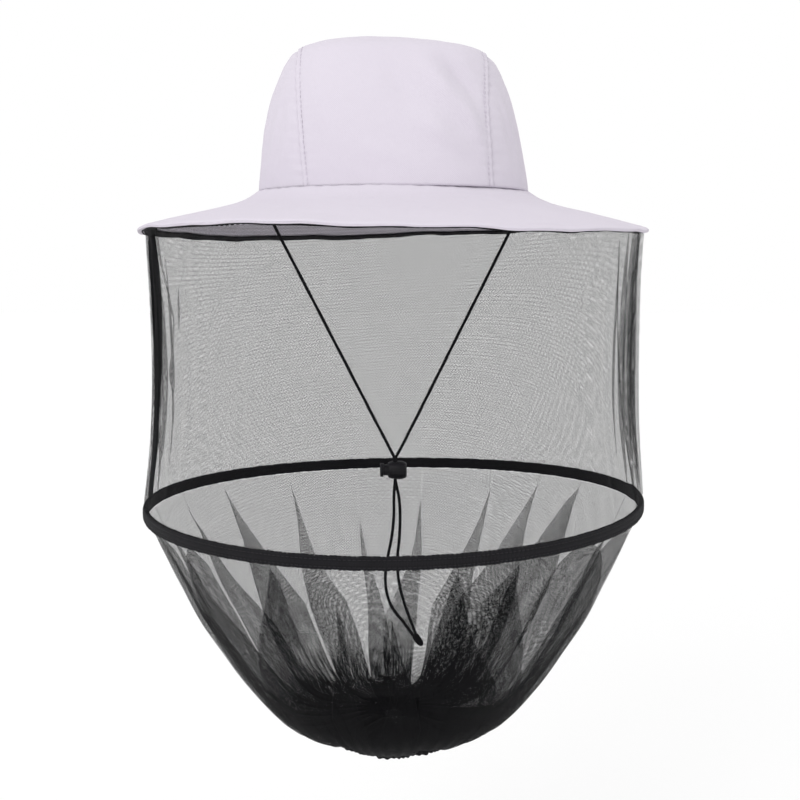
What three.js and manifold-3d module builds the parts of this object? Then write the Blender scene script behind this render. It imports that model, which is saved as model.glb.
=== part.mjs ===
// Beekeeping veil: a three-panel bucket hat whose stiff brim carries a net tube, a sprung hoop,
// a tapering net skirt with an elastic neck, and a chin cord with a push-button cord lock.
// Millimetres, +Z up. The origin is the middle of the head opening, in the seam between crown and brim.
// The front of the hat faces -Y.
import * as THREE from 'three';
import { mergeVertices } from 'three/addons/utils/BufferGeometryUtils.js';
import Module from 'manifold-3d';

const wasm = await Module();
wasm.setup();

// ---- driving dimensions ----
const gap = 0.3;                     // clearance between touching pieces
const around = 36;                   // facets round the large rings
const headHalfWidth = 93;            // head opening, left to right, fits a 58 cm head
const headHalfDepth = 98;            // head opening, front to back
const crownHeight = 101;
const crownCloth = 1.6;              // shell and lining sewn together
const crownSquareness = 0.5;         // how much squarer than an ellipse the top of the crown is
const topSeamHalfWidth = 59;         // centre panel's half width at the brim
const topSeamSpread = 3;             // what it gains by the top
const seamTapeWidth = 12;
const seamTapeCloth = 0.7;
const sweatbandHeight = 29;
const sweatbandCloth = 1.2;
const brimRadius = 175;
const brimCloth = 0.7;
const bindingInner = 157;            // tape under the brim that holds the top of the net
const bindingOuter = 170.5;
const bindingCloth = 0.8;
const netThickness = 0.8;
const netTopRadius = 168.8;
const netWaistRadius = 165.8;
const seamWidth = 8;                 // vertical seam of the net
const hoopLean = 2.4;                // the hoop hangs this much higher at its right end
const hoopLift = 3;                  // and both its ends this much above its front and back
const hoopRadius = 174;              // middle of the hoop
const hoopTop = -216;
const casingHeight = 8;
const casingDepth = 3.6;
const casingCloth = 0.5;
const bandHeight = 5.2;
const bandThickness = 0.8;
const bandEndGap = 1.2;              // half the space between the band's ends
const ferruleHalfLength = 9;
const ferruleWall = 0.3;
const neckRadius = 39;               // middle of the gathered neck hem
const neckTop = -386.4;
const neckHeight = 7;
const neckDepth = 5.2;
const neckCloth = 0.6;
const elasticHeight = 4.6;
const elasticThickness = 1.4;
const cordDiameter = 2.2;
const cordSides = 8;
const anchorX = 90.3;                // the chin cord leaves the hat at its two sides
const anchorThickness = 2.6;
const anchorWidth = 9;
const anchorEndZ = -8.8;
const lockX = 1.2;                   // the cords pass through the lock here
const lockZ = -195.8;
const lockCordSpread = 1.3;          // half the distance between the two cords in the lock
const lockLength = 13.4;
const lockBore = 4.3;
const lockEndWall = 1.2;
const cordFromFace = 5.2;            // from the lock's open face to the cords
const slotStart = 3.65;              // the barrel's slot for the cords, from its open face
const slotEnd = 6.75;
const plungerRadius = 4.0;
const plungerStickOut = 5.6;
const plungerTravel = 2.0;
const springRadius = 2.9;
const springWire = 0.5;
const sleeveLength = 10;
const sleeveWidth = 5.4;
const sleeveDepth = 3.2;

// ---- materials ----
const cloth = (color) => new THREE.MeshStandardMaterial({ color, roughness: 0.9, metalness: 0 });
const hatCloth = 0xe0dae5;
const blackCloth = 0x1c1b1e;
const netBlack = 0x2a292c;
const steel = () => new THREE.MeshStandardMaterial({ color: 0x9a9ca0, roughness: 0.35, metalness: 1 });
const plastic = (color) => new THREE.MeshStandardMaterial({ color, roughness: 0.45, metalness: 0 });

const veil = new THREE.Group();

function add(name, geometry, material) {
  const mesh = new THREE.Mesh(geometry, material);
  mesh.name = name;
  veil.add(mesh);
  return mesh;
}

// ---- solids for cutting and joining ----
function solid(geometry) {
  const bare = geometry.index ? geometry.toNonIndexed() : geometry.clone();
  bare.deleteAttribute('normal');
  bare.deleteAttribute('uv');
  const merged = mergeVertices(bare, 1e-4);
  return new wasm.Manifold(new wasm.Mesh({
    numProp: 3,
    vertProperties: new Float32Array(merged.attributes.position.array),
    triVerts: new Uint32Array(merged.index.array),
  }));
}

function geometryOf(body) {
  const mesh = body.getMesh();
  const geometry = new THREE.BufferGeometry();
  geometry.setAttribute('position', new THREE.BufferAttribute(mesh.vertProperties, 3));
  geometry.setIndex(new THREE.BufferAttribute(mesh.triVerts, 1));
  return geometry;
}

function box(x0, x1, y0, y1, z0, z1) {
  const geometry = new THREE.BoxGeometry(x1 - x0, y1 - y0, z1 - z0);
  geometry.translate((x0 + x1) / 2, (y0 + y1) / 2, (z0 + z1) / 2);
  return geometry;
}

// A ring or dome from a closed outline of [radius, z] points, turned about Z.
function turned(outline, segments = around) {
  const points = outline.map(([r, z]) => new THREE.Vector2(r, z));
  const onAxis = outline[0][0] === 0 && outline.at(-1)[0] === 0;
  if (!onAxis) points.push(points[0].clone());
  const area = points.reduce((sum, p, i) => {
    const q = points[(i + 1) % points.length];
    return sum + p.x * q.y - q.x * p.y;
  }, 0);
  if (area < 0) points.reverse();
  const geometry = new THREE.LatheGeometry(points, segments);
  geometry.rotateX(Math.PI / 2);
  return geometry;
}

// A line of [radius, z] points moved sideways by a distance, to its left as it runs.
function offsetLine(line, distance) {
  return line.map(([r, z], i) => {
    const before = line[Math.max(i - 1, 0)];
    const after = line[Math.min(i + 1, line.length - 1)];
    const dr = after[0] - before[0];
    const dz = after[1] - before[1];
    const length = Math.hypot(dr, dz);
    return [r - distance * dz / length, z + distance * dr / length];
  });
}

// A wall of even thickness on the inner side of a line that runs down or up.
function wall(line, nearSide, farSide) {
  return [...offsetLine(line, nearSide), ...offsetLine(line, farSide).reverse()];
}

// Stretches round rings into the oval of the head.
function ovalise(geometry, depthRatioAt, squarenessAt) {
  const p = geometry.attributes.position;
  for (let i = 0; i < p.count; i++) {
    const [x, y, z] = [p.getX(i), p.getY(i), p.getZ(i)];
    const r = Math.hypot(x, y);
    if (r < 1e-6) continue;
    const n = 2 + squarenessAt(z);
    const c = Math.abs(x / r);
    const s = Math.abs(y / r);
    const grow = 1 / (c ** n + s ** n) ** (1 / n);
    p.setXYZ(i, x * grow, y * grow * depthRatioAt(r, z), z);
  }
  return geometry;
}

// Lifts the net's pieces with the hoop, which doesn't hang quite level. Brim and neck stay level.
function hang(geometry) {
  const p = geometry.attributes.position;
  const [brimEnd, neckEnd] = [netTop, neckTop];
  for (let i = 0; i < p.count; i++) {
    const z = p.getZ(i);
    const end = z > hoopTop ? brimEnd : neckEnd;
    const start = z > hoopTop ? hoopTop : hoopTop - casingHeight - 2 * gap;
    const share = Math.min(Math.max((end - z) / (end - start), 0), 1);
    const side = p.getX(i) / hoopRadius;
    p.setZ(i, z + share * (hoopLean * side + hoopLift * side * side));
  }
  return geometry;
}

const headRatio = headHalfDepth / headHalfWidth;
const crownDepthRatio = (r, z) => headRatio - 0.08 * (z / crownHeight);
const crownSquare = (z) => crownSquareness * Math.max(z, 0) / crownHeight;
const crownShape = (geometry) => ovalise(geometry, crownDepthRatio, crownSquare);
const brimShape = (geometry) => {
  const spread = (r) => Math.min(Math.max((brimRadius - r) / (brimRadius - headHalfWidth), 0), 1);
  return ovalise(geometry, (r) => 1 + (headRatio - 1) * spread(r), () => 0);
};

// ---- crown ----
// Side outline of the crown from the brim seam to the middle of the top.
const crownLine = [
  [headHalfWidth, gap], [90, 21], [85.6, 45], [79.6, 65.5], [71, 84.5],
  [61.5, 92.3], [44, 97.2], [0, crownHeight],
];

function crownLayer(inset, thickness) {
  const outer = offsetLine(crownLine, inset);
  const inner = offsetLine(crownLine, inset + thickness);
  for (const line of [outer, inner]) line.at(-1)[0] = 0;
  return solid(crownShape(turned([...outer.reverse(), ...inner])));
}

// Everything outside one of the two crown seams, from a distance beyond it.
function besideSeam(side, beyond) {
  const seamAt = (z) => topSeamHalfWidth + topSeamSpread * z / crownHeight + beyond;
  const shape = new THREE.Shape([
    new THREE.Vector2(seamAt(-20), -20), new THREE.Vector2(200, -20),
    new THREE.Vector2(200, 150), new THREE.Vector2(seamAt(150), 150),
  ]);
  const geometry = new THREE.ExtrudeGeometry(shape, { depth: 300, bevelEnabled: false });
  geometry.translate(0, 0, -150);
  geometry.rotateX(Math.PI / 2);
  const right = solid(geometry);
  return side > 0 ? right : right.mirror([1, 0, 0]);
}

function crownPanels() {
  const shell = crownLayer(0, crownCloth);
  const centre = shell.subtract(besideSeam(1, -gap / 2)).subtract(besideSeam(-1, -gap / 2));
  add('crown_center_panel', geometryOf(centre), cloth(hatCloth));
  const lining = crownLayer(crownCloth + gap, seamTapeCloth);
  const aboveBand = solid(box(-200, 200, -200, 200, sweatbandHeight + 2, 200));
  for (const [name, side] of [['left', -1], ['right', 1]]) {
    const panel = shell.intersect(besideSeam(side, gap / 2));
    add(`crown_${name}_panel`, geometryOf(panel), cloth(hatCloth));
    const tape = lining.intersect(besideSeam(side, -seamTapeWidth / 2))
      .subtract(besideSeam(side, seamTapeWidth / 2)).intersect(aboveBand);
    add(`crown_seam_tape_${name}`, geometryOf(tape), cloth(hatCloth));
  }
}

function sweatband() {
  const [base, above, next] = crownLine;
  const share = (sweatbandHeight - above[1]) / (next[1] - above[1]);
  const line = [base, above, [above[0] + share * (next[0] - above[0]), sweatbandHeight]];
  const near = crownCloth + gap;
  const ring = crownShape(turned(wall(line, near, near + sweatbandCloth)));
  add('sweatband', ring, cloth(0xd8d2dc));
}

// ---- brim ----
// Upper face of the brim from the crown seam outwards.
const brimLine = [
  [headHalfWidth + gap, -0.4], [103, -6.2], [117, -11], [146, -18], [brimRadius, -25.6],
];

function brimHeightAt(r) {
  let i = 1;
  while (i < brimLine.length - 1 && brimLine[i][0] < r) i++;
  const [[r0, z0], [r1, z1]] = [brimLine[i - 1], brimLine[i]];
  return z0 + (z1 - z0) * (r - r0) / (r1 - r0);
}

function brimLayer(name, depth, inset, color) {
  const edge = brimRadius - inset;
  const line = [...brimLine.slice(0, -1), [edge, brimHeightAt(edge)]];
  const upper = line.map(([r, z]) => [r, z - depth]);
  const lower = line.map(([r, z]) => [r, z - depth - brimCloth]);
  add(name, brimShape(turned([...upper, ...lower.reverse()])), cloth(color));
}

function brim() {
  const step = brimCloth + gap;
  brimLayer('brim_top_panel', 0, 0, hatCloth);
  brimLayer('brim_interlining', step, 2, 0xf2f1ee);
  brimLayer('brim_bottom_panel', 2 * step, 0, hatCloth);
}

// ---- net ----
const brimUnderside = 3 * brimCloth + 3 * gap;
const netTop = brimHeightAt(netTopRadius) - brimUnderside - bindingCloth - gap;
const netLine = [
  [netTopRadius, netTop], [166.4, -75], [netWaistRadius, -125], [168, -168],
  [hoopRadius, hoopTop + gap],
];

function topBinding() {
  const edge = (r, depth) => [r, brimHeightAt(r) - depth];
  const lowest = brimUnderside + bindingCloth;
  const ring = turned([
    edge(bindingInner, brimUnderside), edge(bindingOuter, brimUnderside),
    edge(bindingOuter, lowest), edge(bindingInner, lowest),
  ]);
  add('veil_top_binding', brimShape(ring), cloth(blackCloth));
}

function upperNet() {
  const half = netThickness / 2;
  const tube = brimShape(turned(wall(netLine, half, -half)));
  add('veil_upper_mesh', hang(tube), cloth(netBlack));
  const seamRing = solid(brimShape(turned(wall(netLine, -half - gap, -half - gap - netThickness))));
  const leftSide = solid(box(-200, -100, -seamWidth / 2, seamWidth / 2, -300, 0));
  const fullHeight = solid(box(-300, 300, -300, 300, hoopTop + 2 * gap, netTop - 2 * gap));
  const seam = seamRing.intersect(leftSide).intersect(fullHeight);
  add('veil_side_seam', hang(geometryOf(seam)), cloth(blackCloth));
}

// ---- hoop ----
// A folded tape, open along one edge, in section as [radius, z] points.
function foldedTape(radius, top, height, depth, clothThickness, slit) {
  const [r0, r1] = [radius - depth / 2, radius + depth / 2];
  const [z0, z1] = [top - height, top];
  const t = clothThickness;
  return [
    [radius + slit, z1], [r1, z1], [r1, z0], [r0, z0], [r0, z1], [radius - slit, z1],
    [radius - slit, z1 - t], [r0 + t, z1 - t], [r0 + t, z0 + t],
    [r1 - t, z0 + t], [r1 - t, z1 - t], [radius + slit, z1 - t],
  ];
}

// The hoop is joined in the middle of a facet, where its tape runs straight.
const joinAngle = Math.PI / around;

function atJoin(halfLength, halfDepth, halfHeight) {
  const middle = hoopTop - casingHeight / 2;
  const radius = hoopRadius * Math.cos(joinAngle);
  const block = box(radius - halfDepth, radius + halfDepth, -halfLength, halfLength,
    middle - halfHeight, middle + halfHeight);
  return solid(block.rotateZ(joinAngle));
}

function hoop() {
  const tape = foldedTape(hoopRadius, hoopTop, casingHeight, casingDepth, casingCloth, 0.5);
  add('hoop_casing', hang(turned(tape)), cloth(blackCloth));
  const [r0, r1] = [hoopRadius - bandThickness / 2, hoopRadius + bandThickness / 2];
  const bottom = hoopTop - casingHeight / 2 - bandHeight / 2;
  const ring = turned([[r0, bottom], [r1, bottom], [r1, bottom + bandHeight], [r0, bottom + bandHeight]]);
  const band = solid(ring).subtract(atJoin(bandEndGap, 3, bandHeight));
  add('hoop_band', hang(geometryOf(band)), steel());
  const [room, height] = [bandThickness / 2 + gap, bandHeight / 2 + gap];
  const outside = atJoin(ferruleHalfLength, room + ferruleWall, height + ferruleWall);
  const inside = atJoin(2 * ferruleHalfLength, room, height);
  add('hoop_ferrule', hang(geometryOf(outside.subtract(inside))), steel());
}

// ---- skirt and neck ----
const neckOuter = neckRadius + neckDepth / 2;
const skirtLine = [
  [hoopRadius - 0.4, hoopTop - casingHeight - 2 * gap], [157, -259], [136, -301],
  [112, -340], [84, -369], [62, -383], [neckOuter + 0.5, -388.2],
];

function skirt() {
  const half = netThickness / 2;
  add('skirt_mesh', hang(turned(wall(skirtLine, half, -half))), cloth(netBlack));
}

function neck() {
  const segments = 24;
  const hem = foldedTape(neckRadius, neckTop, neckHeight, neckDepth, neckCloth, 0.6);
  add('neck_hem', turned(hem, segments), cloth(blackCloth));
  const [r0, r1] = [neckRadius - elasticThickness / 2, neckRadius + elasticThickness / 2];
  const middle = neckTop - neckHeight / 2;
  const [z0, z1] = [middle - elasticHeight / 2, middle + elasticHeight / 2];
  add('neck_elastic', turned([[r0, z0], [r1, z0], [r1, z1], [r0, z1]], segments), cloth(0xd9d7d2));
}

// ---- chin cord ----
// Each route runs from the hat's side down through the lock to the end sleeve.
const leftRoute = [
  [-90, 0, -9.6], [-75.6, -0.2, -37.8], [-60, -0.4, -68.2], [-45, -0.6, -97.5],
  [-30, -0.8, -126.8], [-17, -1, -152.2], [-8.4, -1.1, -169], [-3, -1.2, -179.5],
  [-0.7, -1.3, -184], [0.75, -1.3, -187], [1.2, -1.3, -190], [1.2, -1.3, -196],
  [1.2, -1.3, -202.4], [0.6, -1.3, -209], [0.2, -1.2, -217], [0.2, -1.1, -229],
  [-1.4, -1, -245], [-4.2, -0.9, -259], [-5.8, -0.7, -271], [-5.4, -0.5, -283],
  [-2.6, -0.3, -293.5], [2.6, -0.1, -302], [8.6, 0, -309.6], [13.85, 0, -317.3],
];
const rightRoute = [
  [90, 0, -9.6], [76, 0.2, -37.8], [61, 0.4, -68.2], [46.4, 0.6, -97.5],
  [31.9, 0.8, -126.8], [19.3, 1, -152.2], [10.9, 1.1, -169], [5.6, 1.2, -179.5],
  [3.2, 1.3, -184], [1.7, 1.3, -187], [1.2, 1.3, -190], [1.2, 1.3, -196],
  [1.2, 1.3, -202.4], [2.4, 1.3, -209], [4, 1.2, -217], [4.7, 1.1, -229],
  [4.2, 1, -245], [2.8, 0.9, -259], [3, 0.7, -271], [5.2, 0.5, -284.6],
  [8.8, 0.3, -297], [12.6, 0.1, -307.4], [15.85, 0, -315.9],
];

function round(radius, sides) {
  const shape = new THREE.Shape();
  for (let i = 0; i < sides; i++) {
    const angle = 2 * Math.PI * i / sides;
    shape[i ? 'lineTo' : 'moveTo'](radius * Math.cos(angle), radius * Math.sin(angle));
  }
  return shape;
}

function cord(name, route) {
  const path = new THREE.CatmullRomCurve3(route.map((p) => new THREE.Vector3(...p)));
  const steps = Math.round(path.getLength() / (3 * cordDiameter));
  const options = { steps, extrudePath: path, bevelEnabled: false };
  const tube = new THREE.ExtrudeGeometry(round(cordDiameter / 2, cordSides), options);
  add(name, tube, cloth(blackCloth));
}

// A small folded loop of tape at each side of the head opening, under the sweatband's edge.
function cordAnchor(name, side) {
  const tab = box(-anchorThickness / 2, anchorThickness / 2, -anchorWidth / 2, anchorWidth / 2,
    anchorEndZ, -gap);
  tab.translate(side * anchorX, 0, 0);
  add(name, tab, cloth(blackCloth));
}

function endSleeve() {
  const [w, d, r] = [sleeveWidth / 2, sleeveDepth / 2, 1.2];
  const shape = new THREE.Shape();
  shape.moveTo(-w + r, -d);
  shape.lineTo(w - r, -d).absarc(w - r, -d + r, r, -Math.PI / 2, 0);
  shape.lineTo(w, d - r).absarc(w - r, d - r, r, 0, Math.PI / 2);
  shape.lineTo(-w + r, d).absarc(-w + r, d - r, r, Math.PI / 2, Math.PI);
  shape.lineTo(-w, -d + r).absarc(-w + r, -d + r, r, Math.PI, 1.5 * Math.PI);
  const bevel = 0.8;
  const sleeve = new THREE.ExtrudeGeometry(shape, {
    depth: sleeveLength - 2 * bevel, curveSegments: 2,
    bevelThickness: bevel, bevelSize: bevel, bevelOffset: -bevel, bevelSegments: 1,
  });
  sleeve.translate(0, 0, bevel);
  const start = new THREE.Vector3(15, 0, -316.9);
  const along = new THREE.Vector3(0.573, 0, -0.819);
  const across = new THREE.Vector3(0.819, 0, 0.573);
  const forward = new THREE.Vector3().crossVectors(along, across);
  const place = new THREE.Matrix4().makeBasis(across, forward, along).setPosition(start);
  sleeve.applyMatrix4(place);
  add('cord_end_sleeve', sleeve, cloth(blackCloth));
}

// ---- cord lock ----
// Turned about X from [distance along, radius] points, with 0 at the barrel's open face.
function turnedAlongX(outline) {
  const geometry = turned(outline.map(([along, r]) => [r, along]), 20);
  geometry.rotateY(Math.PI / 2);
  geometry.translate(lockX - cordFromFace, 0, lockZ);
  return geometry;
}

// The slot that the two cords pass through, between two distances along the lock.
function cordSlot(from, to) {
  const width = lockCordSpread + cordDiameter / 2 + gap;
  const face = lockX - cordFromFace;
  return solid(box(face + from, face + to, -width, width, lockZ - 20, lockZ + 20));
}

function lockBarrel() {
  const end = lockLength;
  const outline = [
    [0, lockBore], [0, 5], [0.9, 5.9], [3, 6.5], [6.7, 6.75], [10.4, 6.5], [12.5, 5.7],
    [end, 4.4], [end, 0], [end - lockEndWall, 0], [end - lockEndWall, lockBore],
  ];
  const start = outline.findIndex(([, r]) => r === 0) + 1;
  const fromAxis = [...outline.slice(start), ...outline.slice(0, start)];
  const barrel = solid(turnedAlongX(fromAxis)).subtract(cordSlot(slotStart, slotEnd));
  add('cord_lock_barrel', geometryOf(barrel), plastic(0x222124));
}

function lockPlunger() {
  const head = -plungerStickOut;
  const outline = [
    [8, 0], [8, plungerRadius], [-3.1, plungerRadius], [-3.2, 4.7], [-3.8, 5],
    [-5, 5], [head, 4.3], [head, 0],
  ];
  const stemSlot = cordSlot(slotStart - plungerTravel, slotEnd - gap);
  const plunger = solid(turnedAlongX(outline)).subtract(stemSlot);
  add('cord_lock_plunger', geometryOf(plunger), plastic(0x201f22));
}

function lockSpring() {
  const turns = 3;
  const [from, to] = [8 + gap + springWire / 2, lockLength - lockEndWall - gap - springWire / 2];
  const points = [];
  const perTurn = 9;
  for (let i = 0; i <= turns * perTurn; i++) {
    const angle = 2 * Math.PI * i / perTurn;
    const along = from + (to - from) * i / (turns * perTurn);
    points.push(new THREE.Vector3(lockX - cordFromFace + along,
      springRadius * Math.cos(angle), lockZ + springRadius * Math.sin(angle)));
  }
  const path = new THREE.CatmullRomCurve3(points);
  const options = { steps: turns * perTurn, extrudePath: path, bevelEnabled: false };
  const coil = new THREE.ExtrudeGeometry(round(springWire / 2, 6), options);
  add('cord_lock_spring', coil, steel());
}

crownPanels();
sweatband();
brim();
topBinding();
upperNet();
hoop();
skirt();
neck();
cordAnchor('cord_anchor_left', -1);
cordAnchor('cord_anchor_right', 1);
cord('chin_cord_left', leftRoute);
cord('chin_cord_right', rightRoute);
endSleeve();
lockBarrel();
lockPlunger();
lockSpring();

export default veil;
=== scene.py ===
"""A beekeeping veil: a sun hat with a hanging net, a taped hoop, a gathered skirt of net and a chin cord.

Lengths are in millimetres until a mesh is made. The front faces -y, and left in a name is towards -x.
"""

import math

import bmesh
import bpy
import numpy as np
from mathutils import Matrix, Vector, noise


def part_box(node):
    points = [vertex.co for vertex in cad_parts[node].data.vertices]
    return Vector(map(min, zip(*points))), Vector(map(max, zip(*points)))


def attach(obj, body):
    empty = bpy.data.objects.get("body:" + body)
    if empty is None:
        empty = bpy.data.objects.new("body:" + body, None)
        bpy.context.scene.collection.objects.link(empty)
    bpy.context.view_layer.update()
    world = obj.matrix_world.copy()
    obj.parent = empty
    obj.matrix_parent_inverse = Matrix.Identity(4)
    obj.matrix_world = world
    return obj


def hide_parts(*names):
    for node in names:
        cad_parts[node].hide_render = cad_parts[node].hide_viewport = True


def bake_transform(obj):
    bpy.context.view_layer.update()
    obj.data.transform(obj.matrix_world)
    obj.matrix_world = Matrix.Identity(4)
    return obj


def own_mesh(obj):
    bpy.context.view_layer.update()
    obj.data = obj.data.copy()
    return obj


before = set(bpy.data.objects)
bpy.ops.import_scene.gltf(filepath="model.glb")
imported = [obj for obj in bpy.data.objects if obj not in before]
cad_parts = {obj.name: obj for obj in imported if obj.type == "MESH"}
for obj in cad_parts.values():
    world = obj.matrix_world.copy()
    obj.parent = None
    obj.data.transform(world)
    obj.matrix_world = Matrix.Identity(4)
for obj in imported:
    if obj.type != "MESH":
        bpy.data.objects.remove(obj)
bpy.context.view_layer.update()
MM = 0.001
TURN = 2 * math.pi
scene = bpy.context.scene

# -------- driving sizes
HEAD_WIDE = 93.0  # half the head opening, left to right
HEAD_DEEP = 98.0  # half of it, front to back
HEAD_RATIO = HEAD_DEEP / HEAD_WIDE
CROWN_TOP = 101.0
BRIM = 175.0  # the brim's outer radius
BRIM_WIDE = BRIM - HEAD_WIDE
HOOP = 174.0  # the hoop's radius
NET_TOP = -28.1  # the upper net's upper edge, under the brim
NECK = -386.4  # the top of the neck hem

# -------- camera
camera = bpy.data.objects.new("camera", bpy.data.cameras.new("camera"))
scene.collection.objects.link(camera)
camera.location = (0.0046, -0.8613, -0.045)
camera.rotation_euler = (math.radians(83.34), 0, 0)
camera.data.lens = 55.0
camera.data.sensor_width = 36.0
camera.data.clip_start = 0.01
scene.camera = camera


# -------- material nodes
class Paint:
    """A material, and short calls for the nodes that feed its shader."""

    def __init__(self, name, gloss=0.5):
        self.gloss = gloss
        self.material = bpy.data.materials.new(name)
        self.material.use_nodes = True
        self.tree = self.material.node_tree
        self.shader = self.tree.nodes["Principled BSDF"]
        cloth = self.tree.nodes.new("ShaderNodeUVMap")
        cloth.uv_map = "cloth"
        parts = self.tree.nodes.new("ShaderNodeSeparateXYZ")
        self.tree.links.new(cloth.outputs["UV"], parts.inputs[0])
        self.u = parts.outputs["X"]
        self.v = parts.outputs["Y"]
        self.place = self.tree.nodes.new("ShaderNodeTexCoord").outputs["Object"]

    def feed(self, socket, value):
        if isinstance(value, bpy.types.NodeSocket):
            self.tree.links.new(value, socket)
        else:
            socket.default_value = value

    def calc(self, kind, *values):
        node = self.tree.nodes.new("ShaderNodeMath")
        node.operation = kind
        for socket, value in zip(node.inputs, values):
            self.feed(socket, value)
        return node.outputs[0]

    def wave(self, coordinate, pitch, shift=0.0):
        """Runs between -1 and 1 once every pitch."""
        return self.calc("SINE", self.calc("MULTIPLY_ADD", coordinate, TURN / pitch, shift))

    def noise(self, scale, detail=3.0):
        node = self.tree.nodes.new("ShaderNodeTexNoise")
        self.feed(node.inputs["Vector"], self.place)
        node.inputs["Scale"].default_value = scale
        node.inputs["Detail"].default_value = detail
        return node.outputs["Fac"]

    def stretch(self, value, low, high, to_low=0, to_high=1):
        node = self.tree.nodes.new("ShaderNodeMapRange")
        self.feed(node.inputs["Value"], value)
        for socket, number in zip(node.inputs[1:5], (low, high, to_low, to_high)):
            socket.default_value = number
        return node.outputs["Result"]

    def blend(self, share, a, b):
        node = self.tree.nodes.new("ShaderNodeMix")
        node.data_type = "RGBA"
        self.feed(node.inputs["Factor"], share)
        self.feed(node.inputs["A"], (*a, 1))
        self.feed(node.inputs["B"], (*b, 1))
        return node.outputs["Result"]

    def tones(self, value, low, high, colour, dark, light):
        """From dark times the colour to light times it, as the value goes from low to high."""
        return self.blend(self.stretch(value, low, high), shade(colour, dark), shade(colour, light))

    def bump(self, height, deep, strength):
        node = self.tree.nodes.new("ShaderNodeBump")
        self.feed(node.inputs["Height"], height)
        node.inputs["Distance"].default_value = deep * MM
        node.inputs["Strength"].default_value = strength
        self.tree.links.new(node.outputs["Normal"], self.shader.inputs["Normal"])

    def finish(self, colour, rough, **values):
        self.feed(self.shader.inputs["Base Color"], colour)
        self.feed(self.shader.inputs["Roughness"], rough)
        for name, value in values.items():
            self.feed(self.shader.inputs[name.replace("_", " ")], value)
        self.shader.inputs["Specular IOR Level"].default_value = self.gloss
        return self.material


def shade(colour, by):
    return tuple(min(1.0, channel * by) for channel in colour)


def woven(name, colour, pitch, deep, contrast, rough, sheen, diagonal):
    """Plain-woven cloth with slubs, a faint cloudiness and painted shade between its yarns."""
    paint = Paint(name)
    warp = paint.wave(paint.u, 2 * pitch)
    weft = paint.wave(paint.v, 2 * pitch)
    cross = paint.calc("MULTIPLY", warp, weft)
    fine = paint.calc("ABSOLUTE", cross)
    slub = paint.noise(900.0, 2.0)
    height = paint.calc("MULTIPLY_ADD", slub, 0.6, fine)
    along = paint.calc("ADD", paint.u, paint.v)
    height = paint.calc("MULTIPLY_ADD", paint.wave(along, 3.2 * pitch), diagonal, height)
    cloud = paint.noise(26.0, 4.0)
    # partly painted shade: the colour follows the weave's and twill's height, darker between the yarns and
    # lighter on their crests; the cloud and slubs are the cloth's own uneven tone
    tone = paint.calc("MULTIPLY_ADD", cloud, 0.45, paint.calc("MULTIPLY", height, 0.55))
    colours = paint.tones(tone, 0.1, 0.9, colour, 1 - contrast, 1 + contrast)
    paint.bump(height, deep, 0.8)
    return paint.finish(colours, rough, Sheen_Weight=sheen, Sheen_Roughness=0.5)


def net(name, colour, pitch, thread, closing=None):
    """Hexagonal net: its holes are transparent.

    thread is half a thread's share of a pitch. closing (from, to, most) says where down the cloth the holes
    close up, and how much.
    """
    paint = Paint(name, 0.04)
    x = paint.calc("DIVIDE", paint.u, pitch)
    y = paint.calc("DIVIDE", paint.v, pitch)
    tall = math.sqrt(3)

    def folded(value, period):
        """The value's place within its period, counted from the period's middle."""
        return paint.calc("SUBTRACT", paint.calc("FLOORED_MODULO", value, period), period / 2)

    ax = folded(x, 1.0)
    ay = folded(y, tall)
    bx = folded(paint.calc("SUBTRACT", x, 0.5), 1.0)
    by = folded(paint.calc("SUBTRACT", y, tall / 2), tall)

    def edge(px, py):
        across = paint.calc("ABSOLUTE", px)
        half = paint.calc("MULTIPLY", across, 0.5)
        slanted = paint.calc("MULTIPLY_ADD", paint.calc("ABSOLUTE", py), tall / 2, half)
        return paint.calc("SUBTRACT", 0.5, paint.calc("MAXIMUM", across, slanted))

    from_edge = paint.calc("MAXIMUM", edge(ax, ay), edge(bx, by))
    uneven = paint.calc("MULTIPLY_ADD", paint.noise(240.0, 2.0), 0.02, thread - 0.01)
    if closing:
        shirred = paint.stretch(paint.v, closing[0], closing[1])
        uneven = paint.calc("MULTIPLY_ADD", paint.calc("POWER", shirred, 1.3), closing[2], uneven)
    solid = paint.calc("LESS_THAN", from_edge, uneven)
    twist = paint.wave(paint.calc("ADD", paint.u, paint.v), 0.35)
    colours = paint.tones(paint.noise(60.0), 0.3, 0.7, colour, 0.75, 1.25)
    paint.bump(twist, 0.05, 0.3)
    return paint.finish(colours, 0.6, Alpha=solid)


def ribbed(name, colour, rib, deep, rough=0.8, contrast=0.25, sheen=0.02, gloss=0.14):
    """Narrow tape: ribs across it, crossed by a fine twill, with painted shade in their hollows."""
    paint = Paint(name, gloss)
    ribs = paint.wave(paint.u, rib)
    twill = paint.wave(paint.calc("ADD", paint.u, paint.v), 0.9 * rib)
    fuzz = paint.noise(1400.0, 2.0)
    height = paint.calc("MULTIPLY_ADD", twill, 0.5, ribs)
    height = paint.calc("MULTIPLY_ADD", fuzz, 0.9, height)
    # partly painted shade: a fifth of the tone follows the ribs' and twill's height, darker in their hollows;
    # the rest is a random tone
    tone = paint.calc("MULTIPLY_ADD", paint.noise(70.0), 1.2, paint.calc("MULTIPLY", height, 0.2))
    colours = paint.tones(tone, 0.2, 1.1, colour, 1 - contrast, 1 + contrast)
    paint.bump(height, deep, 0.7)
    return paint.finish(colours, rough, Sheen_Weight=sheen)


def plastic(name, colour):
    """Moulded plastic with a fine grain and worn, glossier patches."""
    paint = Paint(name, 0.3)
    grain = paint.noise(2600.0)
    wear = paint.noise(220.0)
    colours = paint.tones(wear, 0.35, 0.7, colour, 0.85, 1.3)
    paint.bump(grain, 0.05, 0.5)
    return paint.finish(colours, paint.stretch(wear, 0.3, 0.7, 0.34, 0.5))


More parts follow.
